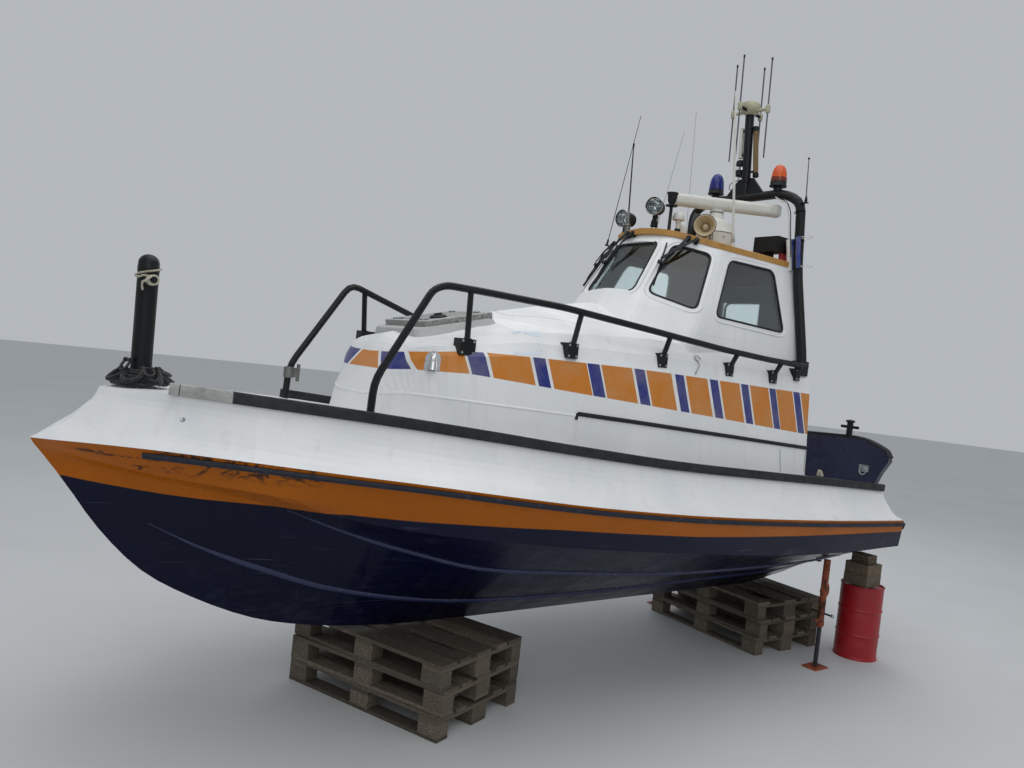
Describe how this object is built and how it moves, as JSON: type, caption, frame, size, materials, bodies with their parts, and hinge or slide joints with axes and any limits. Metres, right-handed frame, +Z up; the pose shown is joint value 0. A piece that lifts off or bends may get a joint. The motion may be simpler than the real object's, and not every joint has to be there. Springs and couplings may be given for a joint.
{
  "type": "inshore rescue boat with wheelhouse",
  "caption": "Small enclosed inshore rescue boat with wheelhouse, radar arch and rails, standing on pallets, props and drums.",
  "frame": {"origin": "on the floor under the middle of the whole length, on the centreline", "axes": "+X towards the bow, +Y to port, +Z up"},
  "size_m": [6.56, 2.2304, 4.853],
  "materials": {
    "hull_navy": "dark navy gelcoat with a yellow-orange band, scuffed",
    "white_grp": "white gelcoat, weathered",
    "roof_yellow": "ochre yellow paint",
    "black_metal": "black paint, worn",
    "black_rubber": "black rubber, dusty",
    "glazing": "clear safety glass",
    "bright_steel": "bare stainless steel",
    "grey_paint": "grey moulded plastic",
    "white_plastic": "white plastic",
    "beacon_amber": "translucent amber",
    "beacon_blue": "translucent blue",
    "engine_grey": "grey engine paint",
    "seat_cloth": "dark seat cover",
    "old_wood": "grey weathered pine",
    "drum_red": "red paint, rubbed",
    "prop_rust": "red lead paint and rust",
    "rope": "black synthetic rope"
  },
  "bodies": {
    "boat": {"hull": "hull_navy", "topsides": "white_grp", "trunk": "white_grp", "wheelhouse": "white_grp", "pane_centre": "glazing", "pane_port": "glazing", "pane_starboard": "glazing", "side_window_port": "glazing", "side_window_starboard": "glazing", "roof": "roof_yellow", "knuckle_strip_port": "black_rubber", "gunwale_strip_port": "black_rubber", "knuckle_strip_starboard": "black_rubber", "gunwale_strip_starboard": "black_rubber", "rail_port": "black_metal", "rail_starboard": "black_metal", "arch": "black_metal", "df_aerial": "black_metal", "beacon_port": "beacon_amber", "beacon_starboard": "beacon_blue", "radar_pedestal": "white_plastic", "loud_hailer": "white_plastic", "floodlight": "black_metal", "whip_port": "white_plastic", "whip_starboard": "white_plastic", "bow_post": "black_metal", "tow_line": "rope", "hatch_frame": "white_grp", "stern_bulwark": "hull_navy", "stern_bitt_port": "black_metal", "stern_bitt_starboard": "black_metal", "stern_fender": "black_rubber", "door_lug_1": "bright_steel", "door_lug_2": "bright_steel", "engine": "engine_grey", "helm_console": "grey_paint", "seat_port": "seat_cloth", "seat_starboard": "seat_cloth", "jet_housing": "bright_steel", "drum_port": "drum_red", "drum_starboard": "drum_red", "drum_block_port": "old_wood", "drum_block_starboard": "old_wood", "prop_port": "prop_rust", "prop_starboard": "prop_rust", "pallet_front_1": "old_wood", "pallet_front_2": "old_wood", "pallet_front_3": "old_wood", "pallet_rear_1": "old_wood", "pallet_rear_2": "old_wood", "pallet_rear_3": "old_wood"},
    "radar_scanner": {"radar_scanner": "white_plastic"},
    "searchlight_centre": {"searchlight_centre": "bright_steel"},
    "searchlight_starboard": {"searchlight_starboard": "bright_steel"},
    "foredeck_hatch": {"hatch_lid": "grey_paint"},
    "aft_door": {"aft_door": "white_grp", "door_window": "glazing"},
    "engine_hatch": {"engine_hatch": "grey_paint"},
    "helm_wheel": {"helm_wheel": "black_metal"},
    "jet_nozzle": {"jet_nozzle": "bright_steel"}
  },
  "joints": [
    {"name": "radar_spin", "type": "hinge", "parent": "boat", "child": "radar_scanner", "pos_m": [-1.33, 0.04, 3.56], "axis": [0, 0, 1], "continuous": true},
    {"name": "searchlight_centre_pan", "type": "hinge", "parent": "boat", "child": "searchlight_centre", "pos_m": [-0.69, -0.01, 3.3], "axis": [0, 0, 1], "range_deg": [-170, 170]},
    {"name": "searchlight_starboard_pan", "type": "hinge", "parent": "boat", "child": "searchlight_starboard", "pos_m": [-0.66, -0.29, 3.3], "axis": [0, 0, 1], "range_deg": [-170, 170]},
    {"name": "foredeck_hatch_lift", "type": "hinge", "parent": "boat", "child": "foredeck_hatch", "pos_m": [1.35747, 0, 2.2965], "axis": [0, 1, 0], "range_deg": [0, 80]},
    {"name": "aft_door_swing", "type": "hinge", "parent": "boat", "child": "aft_door", "pos_m": [-1.839, 0.312, 2.1], "axis": [0, 0, -1], "range_deg": [0, 95]},
    {"name": "engine_hatch_lift", "type": "hinge", "parent": "boat", "child": "engine_hatch", "pos_m": [-2.63, 0, 1.2503], "axis": [0, -1, 0], "range_deg": [0, 85]},
    {"name": "helm_turn", "type": "hinge", "parent": "boat", "child": "helm_wheel", "pos_m": [-0.85, -0.31, 2.225], "axis": [1, 0, 0], "range_deg": [-405, 405]},
    {"name": "nozzle_steer", "type": "hinge", "parent": "boat", "child": "jet_nozzle", "pos_m": [-3.186, 0, 0.76], "axis": [0, 0, 1], "range_deg": [-27, 27]}
  ],
  "couplings": [
    {"joint": "helm_turn", "follows": "nozzle_steer", "ratio": -15}
  ]
}
